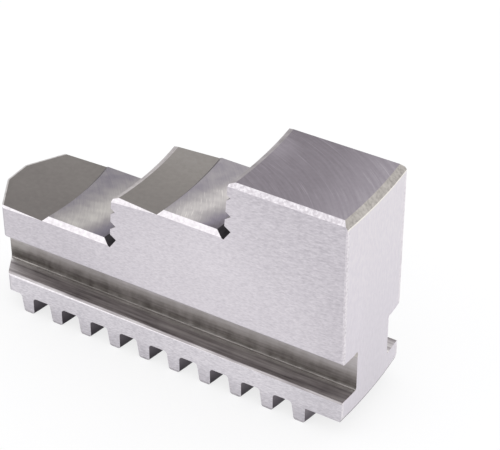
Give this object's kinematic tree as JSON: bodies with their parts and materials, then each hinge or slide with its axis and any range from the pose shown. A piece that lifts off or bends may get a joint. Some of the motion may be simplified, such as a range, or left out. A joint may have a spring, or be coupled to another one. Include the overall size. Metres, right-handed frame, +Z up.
{
  "type": "scroll chuck jaw",
  "caption": "Reverse jaw of a self-centring scroll chuck, with two serrated steps, guide grooves in both sides and curved scroll teeth beneath.",
  "frame": {"origin": "middle of the underside of the box around the jaw, at the tips of the scroll teeth", "axes": "+X along the jaw from the nose at the chuck's centre to the outer end, +Y across the jaw, +Z up from the scroll teeth"},
  "size_m": [0.075, 0.02, 0.0449],
  "materials": {
    "ground_steel": "ground"
  },
  "bodies": {
    "root": {"jaw": "ground_steel"}
  },
  "joints": []
}
